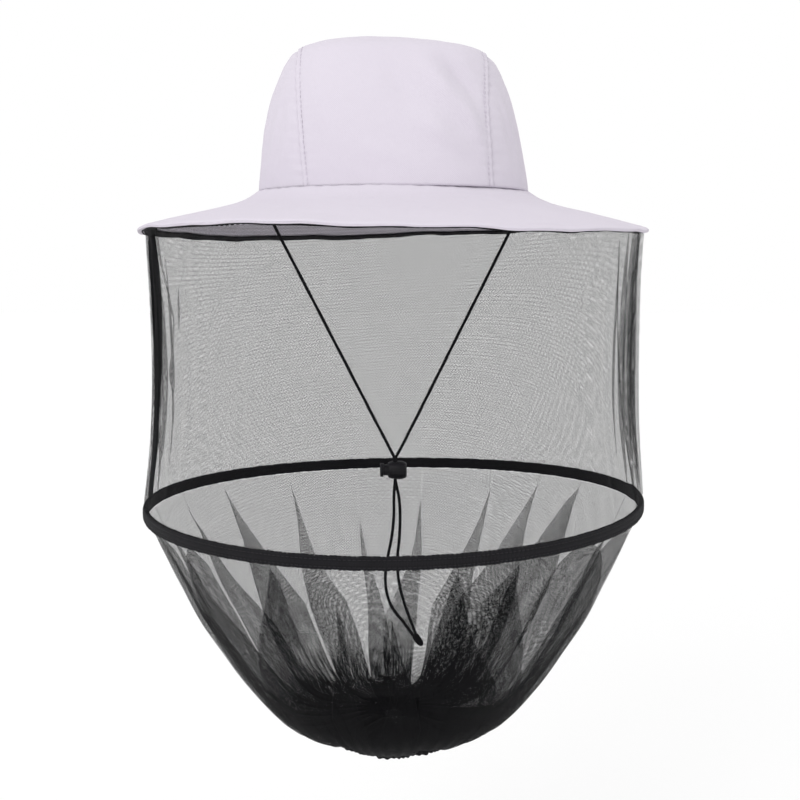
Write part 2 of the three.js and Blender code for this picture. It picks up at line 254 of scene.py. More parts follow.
def steel(name):
    """Spring steel with a fine grain and a little oil bloom."""
    paint = Paint(name)
    drawn = paint.noise(1800.0, 4.0)
    bloom = paint.noise(90.0)
    colours = paint.blend(paint.stretch(bloom, 0.3, 0.7), (0.42, 0.42, 0.44), (0.6, 0.6, 0.62))
    paint.bump(drawn, 0.02, 0.4)
    return paint.finish(colours, paint.stretch(drawn, 0.3, 0.7, 0.25, 0.42), Metallic=1.0)


def felted(name, colour):
    """Non-woven stiffening: pressed fibres with a grid of bonding dots."""
    paint = Paint(name)
    fibres = paint.noise(1100.0, 5.0)
    dots = paint.calc("MULTIPLY", paint.wave(paint.u, 1.8), paint.wave(paint.v, 1.8))
    height = paint.calc("MULTIPLY_ADD", dots, 0.4, fibres)
    colours = paint.tones(height, 0.2, 0.9, colour, 0.88, 1)
    paint.bump(height, 0.12, 0.6)
    return paint.finish(colours, 0.9)


LILAC = (0.615, 0.573, 0.645)
hat_cloth = woven("hat_cloth", LILAC, 0.42, 0.07, 0.04, 0.86, 0.08, 0.5)
hat_thread = ribbed("hat_thread", shade(LILAC, 0.97), 0.5, 0.05, 0.6, 0.06, 0.05, 0.3)
lining_tape = woven("lining_tape", (0.6, 0.57, 0.62), 0.6, 0.1, 0.06, 0.85, 0.15, 0.4)
stiffener = felted("stiffener", (0.75, 0.75, 0.73))
black_tape = ribbed("black_tape", (0.0095, 0.0092, 0.011), 0.9, 0.12)
black_thread = ribbed("black_thread", (0.013, 0.0125, 0.0145), 0.5, 0.05, 0.6)
net_thread = net("net_thread", (0.0042, 0.0041, 0.005), 0.9, 0.095)
shirred_thread = net("shirred_thread", (0.0042, 0.0041, 0.005), 0.9, 0.106, (145, 224, 0.34))
lock_plastic = plastic("lock_plastic", (0.012, 0.0118, 0.0145))
spring_steel = steel("spring_steel")
elastic = ribbed("elastic", (0.6, 0.58, 0.56), 1.1, 0.25, 0.8, 0.12, 0.1, 0.4)


def braided(name, colour, pitch, around):
    """Braided cord: strands wind round it both ways, with painted highlights on the crests and painted shade
    between.
    """
    paint = Paint(name, 0.12)
    one = paint.wave(paint.calc("MULTIPLY_ADD", paint.v, pitch / around, paint.u), pitch)
    two = paint.wave(paint.calc("MULTIPLY_ADD", paint.v, -pitch / around, paint.u), pitch)
    height = paint.calc("MAXIMUM", one, two)
    fuzz = paint.noise(2400.0)
    height = paint.calc("MULTIPLY_ADD", fuzz, 0.6, height)
    # painted highlight and shade: the colour follows the strands' height, lighter on their crests and darker
    # in the grooves between them; the fuzz adds a random tone
    colours = paint.tones(height, -0.4, 1.4, colour, 0.6, 1.5)
    paint.bump(height, 0.12, 0.8)
    return paint.finish(colours, 0.75)


cord_braid = braided("cord_braid", (0.009, 0.0087, 0.0102), 1.6, 2.0)


# -------- meshes
def smooth_line(points, spacing):
    """A curve through the points, as points about spacing apart."""
    points = np.array(points, float)
    p = np.array([2 * points[0] - points[1], *points, 2 * points[-1] - points[-2]])
    out = []
    for k in range(1, len(p) - 2):
        t = np.linspace(0, 1, 24, endpoint=False)[:, None]
        a, b, c, d = p[k - 1], p[k], p[k + 1], p[k + 2]
        curve = 2 * b + (c - a) * t + (2 * a - 5 * b + 4 * c - d) * t**2
        out.append(0.5 * (curve + (3 * b - a - 3 * c + d) * t**3))
    line = np.vstack([*out, p[-2][None]])
    return respaced(line, max(2, round(length_of(line) / spacing) + 1))


def length_of(line):
    return float(np.linalg.norm(np.diff(line, axis=0), axis=1).sum())


def distances(line):
    """How far along a line, or down each column of a grid, its points lie."""
    steps = np.linalg.norm(np.diff(line, axis=0), axis=-1)
    return np.concatenate([np.zeros_like(steps[:1]), np.cumsum(steps, 0)])


def along_line(places, steps, values):
    """Values at places along a line whose own points lie at steps."""
    return np.stack([np.interp(places, steps, column) for column in values.T], 1)


def respaced(line, count):
    """The same line as count points evenly along it."""
    steps = distances(line)
    return along_line(np.linspace(0, steps[-1], count), steps, line)


def profile(points):
    """A smooth function of height through (value, height) points."""
    table = smooth_line(points, 0.5)
    order = np.argsort(table[:, 1])
    heights, values = table[order, 1], table[order, 0]
    return lambda height: np.interp(height, heights, values)


def soft(x):
    """0 below 0, 1 above 1 and a smooth step between."""
    x = np.clip(x, 0, 1)
    return x * x * (3 - 2 * x)


def bell(x, width):
    """1 at 0, falling away on both sides."""
    return np.exp(-((x / width) ** 2))


def fade(x, width):
    """1 at 0, falling away as x grows."""
    return np.exp(-x / width)


def polar(radius, angle, height):
    """Points from radii, angles and heights, each one number or a grid."""
    return np.stack(np.broadcast_arrays(radius * np.cos(angle), radius * np.sin(angle), height), -1)


def flat_grid(u, v):
    """Places on the flat cloth, from a row, column or grid for each way."""
    return np.stack(np.broadcast_arrays(u, v), -1)


def rough_at(points, size, seed=0.0):
    """Smooth noise from about -1 to 1 at points, with features of that size."""
    spots = np.asarray(points, float).reshape(-1, 3) / size + np.array((seed, -seed, 2 * seed))
    values = [noise.noise(Vector(spot)) for spot in spots]
    return np.array(values).reshape(np.asarray(points).shape[:-1])


def facing(points, closed=False, away=(0, 0, -100)):
    """A grid's unit normals, turned away from a point."""
    if closed:
        ring = points[:, :-1]
        across = np.roll(ring, -1, 1) - np.roll(ring, 1, 1)
        across = np.concatenate([across, across[:, :1]], 1)
    else:
        across = np.gradient(points, axis=1)
    n = np.cross(across, np.gradient(points, axis=0))
    n /= np.maximum(np.linalg.norm(n, axis=2, keepdims=True), 1e-9)
    if (n * (points - np.array(away))).sum() < 0:
        n = -n
    return n


def finished(name, mesh, material):
    """An object from a mesh in metres, smooth and with its material."""
    mesh.polygons.foreach_set("use_smooth", [True] * len(mesh.polygons))
    mesh.materials.append(material)
    made = bpy.data.objects.new(name, mesh)
    scene.collection.objects.link(made)
    return made


def add_object(name, points, faces, cloth, material, closed=False, solid=False):
    """A mesh object from points in mm, faces and each point's place on the flat cloth in mm.

    closed joins points that meet, and solid turns the faces outwards.
    """
    mesh = bpy.data.meshes.new(name)
    mesh.from_pydata((np.asarray(points).reshape(-1, 3) * MM).tolist(), [], faces)
    layer = mesh.uv_layers.new(name="cloth")
    corners = np.zeros(len(mesh.loops), np.int64)
    mesh.loops.foreach_get("vertex_index", corners)
    layer.data.foreach_set("uv", np.asarray(cloth, np.float32).reshape(-1, 2)[corners].ravel())
    if closed or solid:
        work = bmesh.new()
        work.from_mesh(mesh)
        if closed:
            bmesh.ops.remove_doubles(work, verts=work.verts, dist=1e-7)
        if solid:
            bmesh.ops.recalc_face_normals(work, faces=work.faces)
        work.to_mesh(mesh)
        work.free()
    return finished(name, mesh, material)


def grid_faces(rows, columns, start=0, flipped=False):
    i, j = np.meshgrid(np.arange(rows - 1), np.arange(columns - 1), indexing="ij")
    a = (start + i * columns + j).ravel()
    quads = np.stack([a, a + 1, a + columns + 1, a + columns], 1)
    return (quads[:, ::-1] if flipped else quads).tolist()


def sheet_of(name, points, cloth, material, closed=False):
    """One layer of cloth, from a grid of points."""
    rows, columns = points.shape[:2]
    return add_object(name, points, grid_faces(rows, columns), cloth, material, closed)


def slab(name, points, cloth, material, thick, closed=False):
    """Cloth with a thickness, from the grid of its outer face. A closed one is a whole ring."""
    rows, columns = points.shape[:2]
    inner = points - facing(points, closed) * thick
    count = rows * columns
    faces = grid_faces(rows, columns) + grid_faces(rows, columns, count, True)
    runs = [range(columns), range((rows - 1) * columns, rows * columns)]
    if not closed:
        runs += [range(0, count, columns), range(columns - 1, count, columns)]
    for run in runs:
        faces += [[a, b, b + count, a + count] for a, b in zip(run, run[1:])]
    both = np.concatenate([points.reshape(-1, 3), inner.reshape(-1, 3)])
    flat = np.concatenate([cloth.reshape(-1, 2), cloth.reshape(-1, 2) + 0.3])
    return add_object(name, both, faces, flat, material, closed, True)


def ring(name, sections, material):
    """A solid ring, from a grid: rows go round its section and columns round the ring."""
    points = np.concatenate([sections, sections[:1]])
    points = np.concatenate([points, points[:, :1]], 1)
    rows, columns = points.shape[:2]
    cloth = flat_grid(distances(points[0])[None], distances(points[:, 0])[:, None])
    return add_object(name, points, grid_faces(rows, columns), cloth, material, True, True)


def tube(name, line, radius, material, sides=16, flat=1.0):
    """A closed tube round a line. flat squeezes it front to back."""
    line = np.array(line, float)
    count = len(line)
    radii = radius if np.ndim(radius) > 1 else np.reshape(radius, (-1, 1))
    ahead = np.gradient(line, axis=0)
    ahead /= np.linalg.norm(ahead, axis=1, keepdims=True)
    side = np.cross(ahead, (0, 1, 0))
    side /= np.linalg.norm(side, axis=1, keepdims=True)
    up = np.cross(side, ahead)
    angle = np.arange(sides + 1) * TURN / sides
    sideways, upwards = np.cos(angle)[None, :, None], np.sin(angle)[None, :, None]
    out = side[:, None] * sideways + up[:, None] * upwards * flat
    points = line[:, None] + out * radii[..., None]
    along = distances(line)
    cloth = flat_grid(along[:, None], angle[None])
    faces = grid_faces(count, sides + 1)
    first = count * (sides + 1)
    last = first + 1
    faces += [[first, k + 1, k] for k in range(sides)]
    base = (count - 1) * (sides + 1)
    faces += [[last, base + k, base + k + 1] for k in range(sides)]
    flat_points = np.concatenate([points.reshape(-1, 3), line[:1], line[-1:]])
    flat_cloth = np.concatenate([cloth.reshape(-1, 2), [[0, 0], [along[-1], 0]]])
    return add_object(name, flat_points, faces, flat_cloth, material, True, True)


def stitches(name, line, normals, pitch, share, width, material, lift=0.0, slant=0.0):
    """A row of sewn stitches along a line, each a short arched thread.

    share is a stitch's share of the pitch, and slant turns the stitches across the line.
    """
    steps = distances(line)
    count = int(steps[-1] / pitch)
    middle = (np.arange(count) + 0.5) * steps[-1] / count
    centre, out = along_line(middle, steps, line), along_line(middle, steps, normals)
    ahead = along_line(middle + 0.4 * pitch, steps, line) - along_line(middle - 0.4 * pitch, steps, line)
    ahead /= np.linalg.norm(ahead, axis=1, keepdims=True)
    across = np.cross(out, ahead)
    ahead += across * slant
    half = pitch * share / 2
    rings = [(-1, 0.3, -0.5), (-0.7, 0.85, 0), (0, 1, 0.35), (0.7, 0.85, 0), (1, 0.3, -0.5)]
    sides = 6
    angle = np.arange(sides) * TURN / sides
    points = []
    for along, size, rise in rings:
        core = centre + ahead * half * along + out * (lift + rise * width / 2)
        spread = across[:, None] * np.cos(angle)[None, :, None]
        spread += out[:, None] * np.sin(angle)[None, :, None]
        points.append(core[:, None] + spread * size * width / 2)
    points = np.stack(points, 1)
    cell = len(rings) * sides
    pattern = []
    for low in range(0, cell - sides, sides):
        for a in range(sides):
            b = (a + 1) % sides
            pattern.append([low + a, low + b, low + sides + b, low + sides + a])
    pattern += [list(range(sides))[::-1], list(range(cell - sides, cell))]
    faces = [[c * cell + k for k in face] for c in range(count) for face in pattern]
    cloth = flat_grid(points[..., 0] + points[..., 1], points[..., 2])
    return add_object(name, points, faces, cloth, material, False, True)


def stand_in(piece, slot, *nodes):
    """Hides the CAD nodes that a piece stands for and gives the piece back; slot is not used."""
    if nodes:
        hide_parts(*nodes)
    return piece


def place(piece, body, slot, *nodes):
    """The same for a piece that rides on one body."""
    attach(piece, body)
    return stand_in(piece, slot, *nodes)


# -------- chin cord
CORD = 2.2  # the cord's diameter
LEFT_ROUTE = [
    (-90, 0, -9.6), (-75.6, -0.2, -37.8), (-60, -0.4, -68.2), (-45, -0.6, -97.5), (-30, -0.8, -126.8),
    (-17, -1, -152.2), (-8.4, -1.1, -169), (-3, -1.2, -179.5), (-0.7, -1.3, -184), (0.75, -1.3, -187),
    (1.2, -1.3, -190), (1.2, -1.3, -196), (1.2, -1.3, -202.4), (0.6, -1.3, -209), (0.2, -1.2, -217),
    (0.2, -1.1, -229), (-1.4, -1, -245), (-4.2, -0.9, -259), (-5.8, -0.7, -271), (-5.4, -0.5, -283),
    (-2.6, -0.3, -293.5), (2.6, -0.1, -302), (8.6, 0, -309.6), (13.85, 0, -317.3),
]
RIGHT_ROUTE = [
    (90, 0, -9.6), (76, 0.2, -37.8), (61, 0.4, -68.2), (46.4, 0.6, -97.5), (31.9, 0.8, -126.8),
    (19.3, 1, -152.2), (10.9, 1.1, -169), (5.6, 1.2, -179.5), (3.2, 1.3, -184), (1.7, 1.3, -187),
    (1.2, 1.3, -190), (1.2, 1.3, -196), (1.2, 1.3, -202.4), (2.4, 1.3, -209), (4, 1.2, -217),
    (4.7, 1.1, -229), (4.2, 1, -245), (2.8, 0.9, -259), (3, 0.7, -271), (5.2, 0.5, -284.6),
    (8.8, 0.3, -297), (12.6, 0.1, -307.4), (15.85, 0, -315.9),
]
SLEEVE_START = np.array((15.0, 0, -316.9))
SLEEVE_WAY = np.array((0.573, 0, -0.819))
SLEEVE_POINTS = 44


def cord_strand(name, node, route):
    """A braided strand, whose turns cross and stand out as small diamonds."""
    line = smooth_line(route, 0.42)
    along = np.arange(len(line)) * length_of(line) / (len(line) - 1)
    angle = np.arange(17) * TURN / 16
    one = np.cos(4 * angle[None] + along[:, None] * TURN / 3.2)
    two = np.cos(4 * angle[None] - along[:, None] * TURN / 3.2)
    made = tube(name, line, CORD / 2 - 0.05 + 0.09 * np.maximum(one, two), cord_braid)
    place(made, "chin_cord", "cord", node)
    return made, line


def end_sleeve():
    """The flat sleeve that joins both strands' ends, bound with thread."""
    line = SLEEVE_START + SLEEVE_WAY * np.linspace(-0.3, 10.2, SLEEVE_POINTS)[:, None]
    share = np.linspace(0, 1, SLEEVE_POINTS)
    radius = 2.75 * np.sqrt(np.clip(1 - np.abs(2 * share - 1) ** 5, 0.05, 1)) * (1 - 0.3 * share**3)
    radius += 0.12 * np.sin(share * 10.5 * TURN / 1.5)
    made = tube("end_sleeve", line, radius, cord_braid, 24, 0.6)
    return place(made, "chin_cord", "cord", "cord_end_sleeve")


left_strand, left_line = cord_strand("left_strand", "chin_cord_left", LEFT_ROUTE)
right_strand, right_line = cord_strand("right_strand", "chin_cord_right", RIGHT_ROUTE)
sleeve = end_sleeve()

# -------- crown
crown_radius = profile([
    (93.6, -20), (HEAD_WIDE, 0.3), (90, 21), (85.6, 45), (79.6, 65.5), (71, 84.5), (61.5, 92.3), (44, 97.2),
])
FLAT_TOP = 97.2  # where the crown turns over into its flat top
FLAT_HALF = 44.0  # half the flat top's width
CROWN_LOW = -0.8
CROWN_CLOTH = 1.3
CENTRE_ROWS, CENTRE_COLUMNS = 190, 71
SEAM_POINTS = 520
STITCH_IN = 2.8 / 60  # the seam's stitches lie this share of the way in from the seam
# soft wrinkles in the front of the crown: (one end, other end, half width, height), each end as (x, z)
WRINKLES = [
    ((14, 86), (50, 34), 5, 4.0), ((26, 90), (58, 50), 5, -3.5), ((6, 60), (44, 10), 7, 2.8),
    ((-8, 82), (26, 34), 8, -2.3), ((38, 66), (57, 16), 5, 3.0), ((-48, 80), (-40, 20), 7, 0.9),
    ((-30, 30), (20, 8), 6, 0.9), ((20, 30), (54, 6), 5, -1.0),
]
SIDES = (("left", -1), ("right", 1))


def dome(z):
    """The crown's half width at a height."""
    z = np.asarray(z, float)
    cap = FLAT_HALF * np.sqrt(np.clip((CROWN_TOP - z) / (CROWN_TOP - FLAT_TOP), 0, None))
    return np.where(z > FLAT_TOP, cap, crown_radius(z))


def lobe(z):
    """The power of the crown's superellipse at a height."""
    return 2 + 0.5 * np.clip(z / CROWN_TOP, 0, 1)


def deeper(z):
    """How much deeper than wide the crown is at a height."""
    return HEAD_RATIO - 0.08 * np.clip(z / CROWN_TOP, 0, 1)


def seam_at(z):
    """How far out the crown's seams are at a height."""
    return 59 + 3 * np.clip(z / CROWN_TOP, 0, 1)


def settle(points):
    """Lets the soft crown lean and sag unevenly."""
    x, z = points[..., 0].copy(), np.clip(points[..., 2], 0, None)
    full = np.clip(z / CROWN_TOP, 0, 1)
    inside = np.clip(1 - (x / HEAD_WIDE) ** 2, 0, 1)
    points[..., 0] += 4.4 * inside * (1 - full) - 1.7 * np.sin(math.pi * full) ** 1.2 - 0.8 * full
    points[..., 0] += 3.6 * soft(x / 62) * inside * (1 - 0.8 * full**3)
    points[..., 2] -= x * 0.031 * full
    return points


def oval(r, angle, z):
    """Points on the crown's superellipse of half width r."""
    n = lobe(z)
    grow = (np.abs(np.cos(angle)) ** n + np.abs(np.sin(angle)) ** n) ** (-1 / n)
    x, y = r * np.cos(angle) * grow, r * np.sin(angle) * grow * deeper(z)
    return np.stack(np.broadcast_arrays(x, y, z), -1)


def ridge_height(share):
    """How high a line rises at that share of the way out to the seams."""
    low, high = 0.0, CROWN_TOP
    for _ in range(40):
        z = (low + high) / 2
        if dome(z) > abs(share) * seam_at(z):
            low = z
        else:
            high = z
    return low


def over_crown(shares, count, low=CROWN_LOW, sink=0.0):
    """Lines over the crown from front to back, each a share of the way out to the seams."""
    lines = []
    for share in shares:
        top = ridge_height(share)
        z = top - (top - low) * (1 - np.sin(np.linspace(0, math.pi / 2, 400)))
        r = np.maximum(dome(z), 1e-6)
        q = np.clip(np.abs(share) * seam_at(z) / r, 0, 1)
        y = r * (1 - q ** lobe(z)) ** (1 / lobe(z)) * deeper(z)
        front = np.stack([share * seam_at(z), -y, z], 1)
        back = front[::-1][1:] * (1, -1, 1)
        lines.append(respaced(np.concatenate([front, back]), count))
    grid = np.stack(lines, 1)
    return grid - facing(grid) * sink if sink else grid


def line_dents(points, dents):
    """How high soft straight wrinkles stand, on the front of the hat."""
    total = np.zeros(points.shape[:-1])
    flat = points[..., [0, 2]]
    for start, end, width, height in dents:
        start, end = np.array(start, float), np.array(end, float)
        way = end - start
        t = ((flat - start) @ way) / (way @ way)
        off = np.linalg.norm(flat - start - np.clip(t, 0, 1)[..., None] * way, axis=-1)
        total += height * bell(off, width) * soft(1 - np.abs(2 * t - 1) * 0.9)
    return total * (points[..., 1] < 0)


def panel_cloth(grid):
    """A crown panel's flat cloth: how far across and along it each point lies."""
    across = distances(grid.swapaxes(0, 1)).T
    return flat_grid(across - across[:, -1:] / 2, distances(grid))


def crowded(count, share):
    """Numbers from -1 to 1 that crowd together towards both ends."""
    return np.sin(np.linspace(-1, 1, count) * math.pi / 2 * share) / math.sin(math.pi / 2 * share)


def foot_gathers(grid, across):
    """Small gathers where the crown is eased into the brim's seam."""
    return 0.14 * fade(grid[..., 2] - 0.3, 6) * np.sin(across * TURN / 11 + 5 * rough_at(grid, 24, 7.0))


def crown_centre():
    """The panel over the crown's middle. Gives how far its cloth stands out."""
    shares = crowded(CENTRE_COLUMNS, 0.94)
    grid = over_crown(shares, CENTRE_ROWS)
    cloth = panel_cloth(grid)
    from_seam = (1 - np.abs(shares))[None] * seam_at(grid[..., 2])
    puckers = np.sin(cloth[..., 1] * TURN / 7.2 + 3 * rough_at(grid, 18)) * fade(from_seam, 5)
    out = 0.5 - 0.5 * bell(from_seam - 2.8, 1.0) - 0.4 * fade(from_seam, 0.6)
    out = out + 0.28 * puckers + 0.7 * rough_at(grid, 34, 2.0) + 0.25 * rough_at(grid, 11, 5.0)
    out = out + line_dents(grid, WRINKLES) + foot_gathers(grid, grid[..., 0])
    face = settle(grid + facing(grid) * out[..., None])
    panel = slab("crown_center", face, cloth, hat_cloth, CROWN_CLOTH)
    place(panel, "hat", "hat_fabric", "crown_center_panel")
    return out


def crown_side(name, side):
    """A side panel of the crown, with soft tucks round its middle."""
    top = ridge_height(1.0)
    z = np.linspace(CROWN_LOW, top, 300)
    heights = respaced(np.stack([dome(z), z], 1), 60)[:, 1]
    heights[-1] = top - 0.05
    q = np.clip(seam_at(heights) / dome(heights), 0, 1)
    rise = (1 - q ** lobe(heights)) ** (1 / lobe(heights))
    limit = np.arctan2(rise, q)
    grid = oval(dome(heights)[:, None], crowded(75, 0.93)[None] * limit[:, None], heights[:, None])
    grid[..., 0] *= side
    off = np.maximum(np.abs(grid[..., 0]) - seam_at(grid[..., 2]), 0)
    out = -0.9 * fade(off, 2.2) + 0.7 * rough_at(grid, 34, 3.0 + side) + 0.25 * rough_at(grid, 11, 6.0)
    out += 0.3 * fade(off, 7) * np.sin(grid[..., 2] * TURN / 7.6 + 3 * rough_at(grid, 18, 4.0))
    out += foot_gathers(grid, grid[..., 1])
    tucks = np.sin(grid[..., 1] * TURN / 15 + grid[..., 2] / 26 + 2 * rough_at(grid, 30, 2.0))
    out += 0.45 * tucks * soft((off - 3) / 10) * np.sin(math.pi * np.clip(grid[..., 2] / 85, 0, 1))
    face = settle(grid + facing(grid) * out[..., None])
    panel = slab(f"crown_{name}", face, panel_cloth(grid), hat_cloth, CROWN_CLOTH)
    place(panel, "hat", "hat_fabric", f"crown_{name}_panel")


def crown_seam_stitches(name, side, centre_out):
    """The stitches beside a crown seam, which rise and fall with its cloth."""
    line = over_crown([side * (1 - STITCH_IN)], SEAM_POINTS)[:, 0]
    beside = over_crown([side * (share - STITCH_IN) for share in (0.97, 1, 1.03)], SEAM_POINTS)
    normals = facing(beside)[:, 1]
    column = 3 if side < 0 else CENTRE_COLUMNS - 4
    rise = np.interp(np.linspace(0, 1, SEAM_POINTS), np.linspace(0, 1, CENTRE_ROWS), centre_out[:, column])
    lifted = settle(line + normals * (rise[:, None] * 0.6 + 0.05))
    thread = stitches(f"crown_seam_stitches_{name}", lifted, normals, 3.4, 0.78, 0.55, hat_thread)
    place(thread, "hat", "hat_fabric")


def seam_tape(name, side):
    """The tape that covers a crown seam inside the hat."""
    grid = over_crown(side * np.linspace(0.9, 1.1, 9), 150, 3.0, 2.6)
    grid = settle(grid + facing(grid) * (0.15 * rough_at(grid, 9, 8.0))[..., None])
    tape = slab(f"seam_tape_{name}", grid, panel_cloth(grid), lining_tape, 0.6)
    place(tape, "hat", "lining_tape", f"crown_seam_tape_{name}")


def sweatband():
    """The band round the inside of the head opening."""
    around = np.linspace(0, TURN, 241)
    heights = np.linspace(29, 1.2, 22)
    grid = oval(dome(heights)[:, None] - 3.6, around[None], heights[:, None])
    grid = grid + facing(grid, True) * (0.35 * rough_at(grid, 16, 9.0))[..., None]
    grid[:, -1] = grid[:, 0]
    flat = flat_grid(around[None] * HEAD_WIDE, heights[:, None])
    band = slab("sweatband_cloth", settle(grid), flat, lining_tape, 1.1, True)
    place(band, "hat", "lining_tape", "sweatband")


centre_out = crown_centre()
for name, side in SIDES:
    crown_side(name, side)
    crown_seam_stitches(name, side, centre_out)
    seam_tape(name, side)
sweatband()

# -------- brim
BRIM_INNER = 93.3
BRIM_CLOTH = 0.7
BRIM_DENTS = [((-20, -24), (90, -26), 3.0, -0.6), ((30, -21), (70, -23), 3, 0.5)]
RING_POINTS = 1441
brim_table = smooth_line([(BRIM_INNER, -0.4), (103, -6.2), (117, -11), (146, -18), (BRIM, -25.6)], 0.5)
ring_angle = np.linspace(0, TURN, RING_POINTS)
up = np.tile((0.0, 0.0, 1.0), (RING_POINTS, 1))


def brim_height(r):
    return np.interp(r, brim_table[:, 0], brim_table[:, 1])


def sway(x, y, r):
    """How far the brim lifts: two opposite corners rise and two drop."""
    out = np.clip((r - HEAD_WIDE) / BRIM_WIDE, 0, 1)
    return (6 * x * y / BRIM**2 + 1.4 * x / BRIM) * out


def brim_at(r, angle, depth):
    """A point of the brim that far under its upper face."""
    r, angle = np.broadcast_arrays(np.asarray(r, float), angle)
    stretch = 1 + (HEAD_RATIO - 1) * np.clip((BRIM - r) / BRIM_WIDE, 0, 1)
    x, y = r * np.cos(angle), r * np.sin(angle) * stretch
    ripple = 0.55 * np.sin(9 * angle + 1.3) * soft((r - 120) / 55)
    ripple += 0.3 * np.sin(23 * angle) * soft((r - 150) / 25)
    return np.stack([x, y, brim_height(r) - depth + sway(x, y, r) + ripple], -1)


def brim_ring(low, high, rows, depth, columns=480):
    """A ring of the brim: its points, their places on the flat cloth and the radii."""
    angle = np.linspace(0, TURN, columns + 1)
    radii = np.linspace(low, high, rows)
    grid = brim_at(radii[:, None], angle[None], depth)
    flat = polar(radii[:, None], angle[None], 0)[..., :2]
    return grid, flat, radii


def seat(grid, change):
    """Moves a ring's grid up or down and keeps its ends together."""
    grid = grid.copy()
    grid[..., 2] += change
    grid[:, -1] = grid[:, 0]
    return grid


def on_brim(r, depth):
    """A ring of points under the brim that follows its cloth."""
    line = brim_at(r, ring_angle, depth)
    line[:, 2] += 0.45 * rough_at(line, 26, 11.0)
    return line


def brim_top():
    """The brim's upper cloth, grooved near its edge and gathered at the crown."""
    grid, flat, radii = brim_ring(BRIM_INNER, BRIM, 64, 0.0)
    from_edge = BRIM - radii[:, None]
    from_crown = radii[:, None] - BRIM_INNER
    change = 0.45 * rough_at(grid, 26, 11.0) + 0.18 * rough_at(grid, 9, 12.0)
    change = change - 0.45 * bell(from_edge - 5.0, 1.0) - 1.1 * fade(from_edge, 0.8)
    gathers = np.sin(np.linspace(0, TURN, grid.shape[1]) * 46 + 5 * rough_at(grid, 24, 7.0))
    change += 0.16 * fade(from_crown, 6) * gathers
    change += line_dents(grid, BRIM_DENTS)
    panel = slab("brim_top", seat(grid, change), flat, hat_cloth, BRIM_CLOTH, True)
    place(panel, "hat", "hat_fabric", "brim_top_panel")


def brim_bottom():
    """The brim's lower cloth, turned up a little at its edge."""
    grid, flat, radii = brim_ring(95, BRIM - 0.2, 56, 2.0)
    from_edge = BRIM - radii[:, None]
    change = 0.4 * rough_at(grid, 26, 11.0) + 0.15 * rough_at(grid, 9, 14.0)
    change = change + 0.35 * bell(from_edge - 5, 1.0) + 0.8 * fade(from_edge, 0.8)
    panel = slab("brim_bottom", seat(grid, change), flat, hat_cloth, BRIM_CLOTH, True)
    place(panel, "hat", "hat_fabric", "brim_bottom_panel")


def brim_stiffening():
    """The stiff layer between the brim's two cloths."""
    grid, flat, _ = brim_ring(96, BRIM - 2.4, 40, 1.05, 360)
    layer = slab("brim_stiffening", seat(grid, 0.4 * rough_at(grid, 26, 11.0)), flat, stiffener, 0.6, True)
    place(layer, "hat", "interlining", "brim_interlining")


def veil_binding():
    """The tape under the brim that binds the net's upper edge."""
    columns = 720
    grid, _, radii = brim_ring(162.0, 170.5, 12, 3.05, columns)
    change = 0.35 * rough_at(grid, 12, 15.0) - 0.25 * soft(np.abs(radii[:, None] - 166.2) / 4.3 * 3 - 2)
    flat = flat_grid(np.linspace(0, TURN, columns + 1)[None] * 164, radii[:, None])
    tape = slab("veil_binding", seat(grid, change), flat, black_tape, 0.8, True)
    return place(tape, "hat", "black_tape", "veil_top_binding")


brim_top()
brim_bottom()
brim_stiffening()
binding = veil_binding()
for name, r in (("inner", 163.4), ("outer", 168.4)):
    row = stitches(f"binding_stitches_{name}", on_brim(r, 4.15), -up, 4.2, 0.7, 0.6, black_thread)
    place(row, "hat", "black_tape")
dashes = stitches("veil_attachment_stitches", on_brim(171.6, 2.75), -up, 5.7, 0.62, 0.95, black_thread, 0.25)
place(dashes, "hat", "black_tape")

# -------- cord anchors
TAB_SIZE = (2.6, 9.0, 8.2)
TAB_OUT, TAB_HEIGHT = 90.3, -4.7  # the middle of a tab
TACK_POINTS = 30


def tab(name, side):
    """A folded tape tab that holds one end of the chin cord, pinched where it is sewn."""
    work = bmesh.new()
    bmesh.ops.create_cube(work, size=1.0)
    for v in work.verts:
        v.co = Vector([at * size for at, size in zip(v.co, TAB_SIZE)])
    bmesh.ops.bevel(work, geom=work.edges[:], offset=0.9, segments=4, profile=0.6, affect="EDGES")
    long_edges = [e for e in work.edges if e.calc_length() > 3]
    bmesh.ops.subdivide_edges(work, edges=long_edges, cuts=7, use_grid_fill=True)
    layer = work.loops.layers.uv.new("cloth")
    for v in work.verts:
        v.co.x *= 1 - 0.16 * sum(bell(v.co.z - seam, 1.1) for seam in (1.8, -1.2))
    for face in work.faces:
        for loop in face.loops:
            loop[layer].uv = (loop.vert.co.y + loop.vert.co.x, loop.vert.co.z)
    for v in work.verts:
        v.co = (v.co + Vector((side * TAB_OUT, 0, TAB_HEIGHT))) * MM
    mesh = bpy.data.meshes.new(name)
    work.to_mesh(mesh)
    work.free()
    return finished(name, mesh, black_tape)


def tacks(name, side):
    """The bars of stitches through a tab: two rows on each of its faces."""
    for row, height in enumerate((-2.9, -5.9)):
        for face in (-1, 1):
            x = side * TAB_OUT + face * 1.12
            line = np.array([(x, y, height) for y in np.linspace(-3.9, 3.9, TACK_POINTS)])
            outward = np.tile((float(face), 0.0, 0.0), (TACK_POINTS, 1))
            bar = stitches(
                f"anchor_tack_{name}_{row}_{face + 1}", line, outward, 0.62, 1.1, 0.5, black_thread, 0.1, 1.6,
            )
            place(bar, "hat", "black_tape")


for name, side in SIDES:
    place(tab(f"anchor_tab_{name}", side), "hat", "black_tape", f"cord_anchor_{name}")
    tacks(name, side)

# -------- upper net
NET_FOOT = -215.7
NET_DROP = 188
VEIL_ROWS, VEIL_COLUMNS = 110, 1200
net_radius = profile([(168.8, NET_TOP), (166.4, -75), (165.8, -125), (168, -168), (HOOP, NET_FOOT)])
